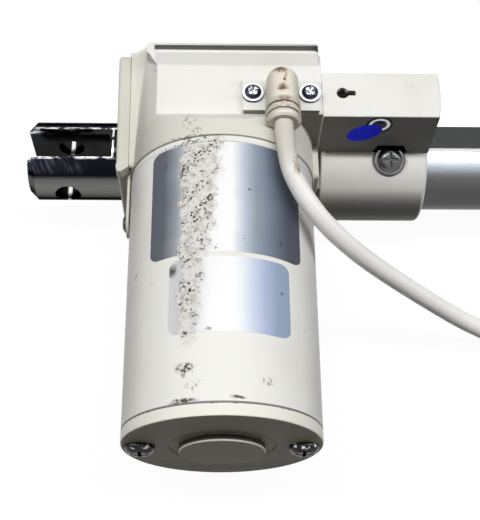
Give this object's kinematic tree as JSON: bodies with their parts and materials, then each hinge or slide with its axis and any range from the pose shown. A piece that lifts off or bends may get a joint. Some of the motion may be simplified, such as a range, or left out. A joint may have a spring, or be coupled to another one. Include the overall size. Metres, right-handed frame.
{
  "type": "electric linear actuator",
  "caption": "Electric linear actuator: a worm geared motor across its housing turns a spindle that slides a chromed rod out of a channelled tube, with a clevis at either end and a cable.",
  "frame": {"origin": "centre of the rear clevis's pin bore, on the spindle's axis", "axes": "+X along the stroke from the rear clevis to the front one, Y along the motor and both clevis pins with the motor on the -Y side, +Z away from the surface that the actuator lies on"},
  "size_m": [0.3548, 0.1915, 0.0846],
  "materials": {
    "ivory_plastic": "satin",
    "cover_plastic": "satin",
    "motor_paint": "satin",
    "cap_paint": "satin",
    "clevis_steel": "polished, scratched",
    "screw_steel": "polished",
    "tube_aluminium": "dull",
    "rod_chrome": "polished",
    "machined_steel": "machined",
    "bearing_steel": "ground",
    "wheel_plastic": "satin",
    "nut_plastic": "satin",
    "bush_bronze": "machined",
    "ferrite": "matte",
    "core_steel": "laminated",
    "copper": "bright",
    "carbon": "matte",
    "dark_plastic": "matte",
    "circuit_board": "satin",
    "wiper_rubber": "matte",
    "elbow_plastic": "worn",
    "cable_jacket": "satin",
    "plug_plastic": "satin",
    "tie_plastic": "satin"
  },
  "bodies": {
    "housing": {"rear_cover": "cover_plastic", "rear_cover_screws": "screw_steel", "rear_clevis": "clevis_steel", "gear_housing": "ivory_plastic", "motor_bracket": "motor_paint", "motor_can": "motor_paint", "motor_side_screw": "screw_steel", "motor_end_cap": "cap_paint", "motor_cap_bolts": "screw_steel", "motor_magnets": "ferrite", "brush_holder": "dark_plastic", "motor_brushes": "carbon", "motor_drive_bearing": "bush_bronze", "motor_tail_bush": "bush_bronze", "worm_end_bush": "bush_bronze", "rear_bearing_outer": "bearing_steel", "front_bearing_outer": "bearing_steel", "bearing_retainer": "machined_steel", "outer_tube": "tube_aluminium", "tube_end_cap": "ivory_plastic", "guide_bush": "nut_plastic", "rod_wiper": "wiper_rubber", "end_cap_screws": "screw_steel", "tube_collar": "ivory_plastic", "collar_screw": "screw_steel", "collar_washer": "screw_steel", "flange_screws": "screw_steel", "switch_board": "circuit_board", "limit_switches": "dark_plastic", "outlet_plate": "ivory_plastic", "outlet_washers": "screw_steel", "outlet_screws": "screw_steel", "cable_elbow": "elbow_plastic", "cable_run": "cable_jacket", "cable_coil": "cable_jacket", "cable_tail": "cable_jacket", "cable_plug": "plug_plastic", "cable_tie": "tie_plastic"},
    "spindle": {"spindle": "machined_steel", "worm_wheel": "wheel_plastic", "wheel_key": "machined_steel", "rear_bearing_inner": "bearing_steel", "front_bearing_inner": "bearing_steel"},
    "rotor": {"motor_shaft": "machined_steel", "armature_core": "core_steel", "armature_windings": "copper", "commutator": "copper"},
    "rod": {"drive_nut": "nut_plastic", "inner_rod": "rod_chrome", "front_clevis": "clevis_steel", "front_cross_pin": "machined_steel"}
  },
  "joints": [
    {"name": "motor_spin", "type": "hinge", "parent": "housing", "child": "rotor", "pos_m": [0.0626, 0, 0.0205], "axis": [0, 1, 0], "range_deg": [0, 431999]},
    {"name": "spindle_spin", "type": "hinge", "parent": "housing", "child": "spindle", "pos_m": [0.0626, 0, 0], "axis": [1, 0, 0], "range_deg": [0, 13500]},
    {"name": "rod_slide", "type": "slide", "parent": "housing", "child": "rod", "axis": [1, 0, 0], "range_m": [0, 0.15]}
  ],
  "couplings": [
    {"joint": "spindle_spin", "follows": "motor_spin", "ratio": 0.03125},
    {"joint": "rod_slide", "follows": "motor_spin", "m_per_rad": 0.000019894}
  ]
}
